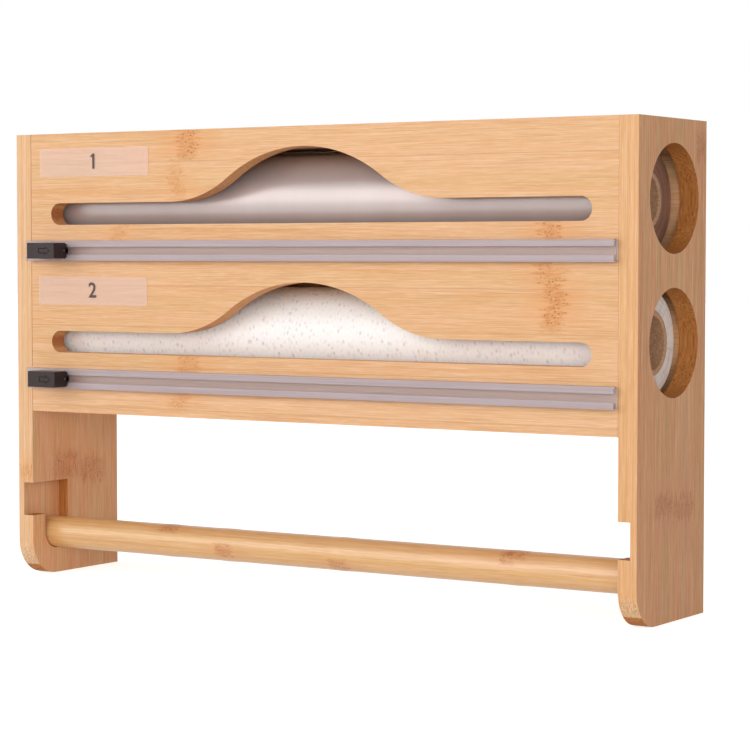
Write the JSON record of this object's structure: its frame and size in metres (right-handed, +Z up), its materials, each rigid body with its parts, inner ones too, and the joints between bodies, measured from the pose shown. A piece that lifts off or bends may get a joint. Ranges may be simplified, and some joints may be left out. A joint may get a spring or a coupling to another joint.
{
  "type": "cling film dispenser",
  "caption": "Bamboo case that holds foil and cling film rolls behind front windows, with sliding cutters on plastic rails and a lift-out paper towel rod below.",
  "frame": {"origin": "on the surface that the part stands on, under the middle of its bounding box", "axes": "+X to the right as seen from the front, +Y towards the wall, +Z up; the front faces -Y"},
  "size_m": [0.34, 0.0808, 0.217],
  "materials": {
    "bamboo_board": "sanded bamboo board with a matt clear coat",
    "back_board": "sanded bamboo board, in shade behind the rolls",
    "rod_bamboo": "turned bamboo, golden satin varnish",
    "dowel_wood": "plain hardwood dowel",
    "rail_plastic": "extruded frosted translucent plastic",
    "slider_plastic": "moulded black plastic, fine satin",
    "blade_steel": "ground steel",
    "hanger_steel": "zinc-plated steel",
    "tape": "white foam tape",
    "paper_tube": null,
    "foil": "satin household foil, dull side out",
    "film": "white wound film with fine grey specks",
    "sticker": "clear satin sticker"
  },
  "bodies": {
    "case": {"left_side_panel": "bamboo_board", "right_side_panel": "bamboo_board", "front_panel": "bamboo_board", "top_panel": "bamboo_board", "middle_shelf": "bamboo_board", "bottom_shelf": "bamboo_board", "back_panel": "back_board", "upper_cutter_rail": "rail_plastic", "lower_cutter_rail": "rail_plastic", "upper_rail_tape": "tape", "lower_rail_tape": "tape", "upper_label": "sticker", "lower_label": "sticker", "left_hanger_plate": "hanger_steel", "right_hanger_plate": "hanger_steel", "top_panel_left_front_dowel": "dowel_wood", "top_panel_left_back_dowel": "dowel_wood", "top_panel_right_front_dowel": "dowel_wood", "top_panel_right_back_dowel": "dowel_wood", "middle_shelf_left_front_dowel": "dowel_wood", "middle_shelf_left_back_dowel": "dowel_wood", "middle_shelf_right_front_dowel": "dowel_wood", "middle_shelf_right_back_dowel": "dowel_wood", "bottom_shelf_left_front_dowel": "dowel_wood", "bottom_shelf_left_back_dowel": "dowel_wood", "bottom_shelf_right_front_dowel": "dowel_wood", "bottom_shelf_right_back_dowel": "dowel_wood", "front_panel_left_upper_dowel": "dowel_wood", "front_panel_left_lower_dowel": "dowel_wood", "front_panel_right_upper_dowel": "dowel_wood", "front_panel_right_lower_dowel": "dowel_wood", "left_hanger_lower_screw": "hanger_steel", "left_hanger_upper_screw": "hanger_steel", "right_hanger_lower_screw": "hanger_steel", "right_hanger_upper_screw": "hanger_steel"},
    "upper_slider": {"upper_cutter_slider": "slider_plastic", "upper_cutter_blade": "blade_steel"},
    "lower_slider": {"lower_cutter_slider": "slider_plastic", "lower_cutter_blade": "blade_steel"},
    "foil_tube": {"foil_core": "paper_tube"},
    "foil_roll": {"foil_winding": "foil"},
    "film_tube": {"film_core": "paper_tube"},
    "film_roll": {"film_winding": "film"},
    "rod": {"towel_rod": "rod_bamboo"}
  },
  "joints": [
    {"name": "upper_cutter_slide", "type": "slide", "parent": "case", "child": "upper_slider", "axis": [1, 0, 0], "range_m": [0, 0.286]},
    {"name": "lower_cutter_slide", "type": "slide", "parent": "case", "child": "lower_slider", "axis": [1, 0, 0], "range_m": [0, 0.286]},
    {"name": "foil_load_slide", "type": "slide", "parent": "case", "child": "foil_tube", "axis": [1, 0, 0], "range_m": [0, 0.33]},
    {"name": "foil_spin", "type": "hinge", "parent": "foil_tube", "child": "foil_roll", "pos_m": [0.0013, 0.00895, 0.1823], "axis": [1, 0, 0], "continuous": true},
    {"name": "film_load_slide", "type": "slide", "parent": "case", "child": "film_tube", "axis": [1, 0, 0], "range_m": [0, 0.33]},
    {"name": "film_spin", "type": "hinge", "parent": "film_tube", "child": "film_roll", "pos_m": [0.0039, 0.00895, 0.1203], "axis": [1, 0, 0], "continuous": true},
    {"name": "towel_rod_lift", "type": "slide", "parent": "case", "child": "rod", "axis": [0, 0, 1], "range_m": [0, 0.0175]}
  ]
}
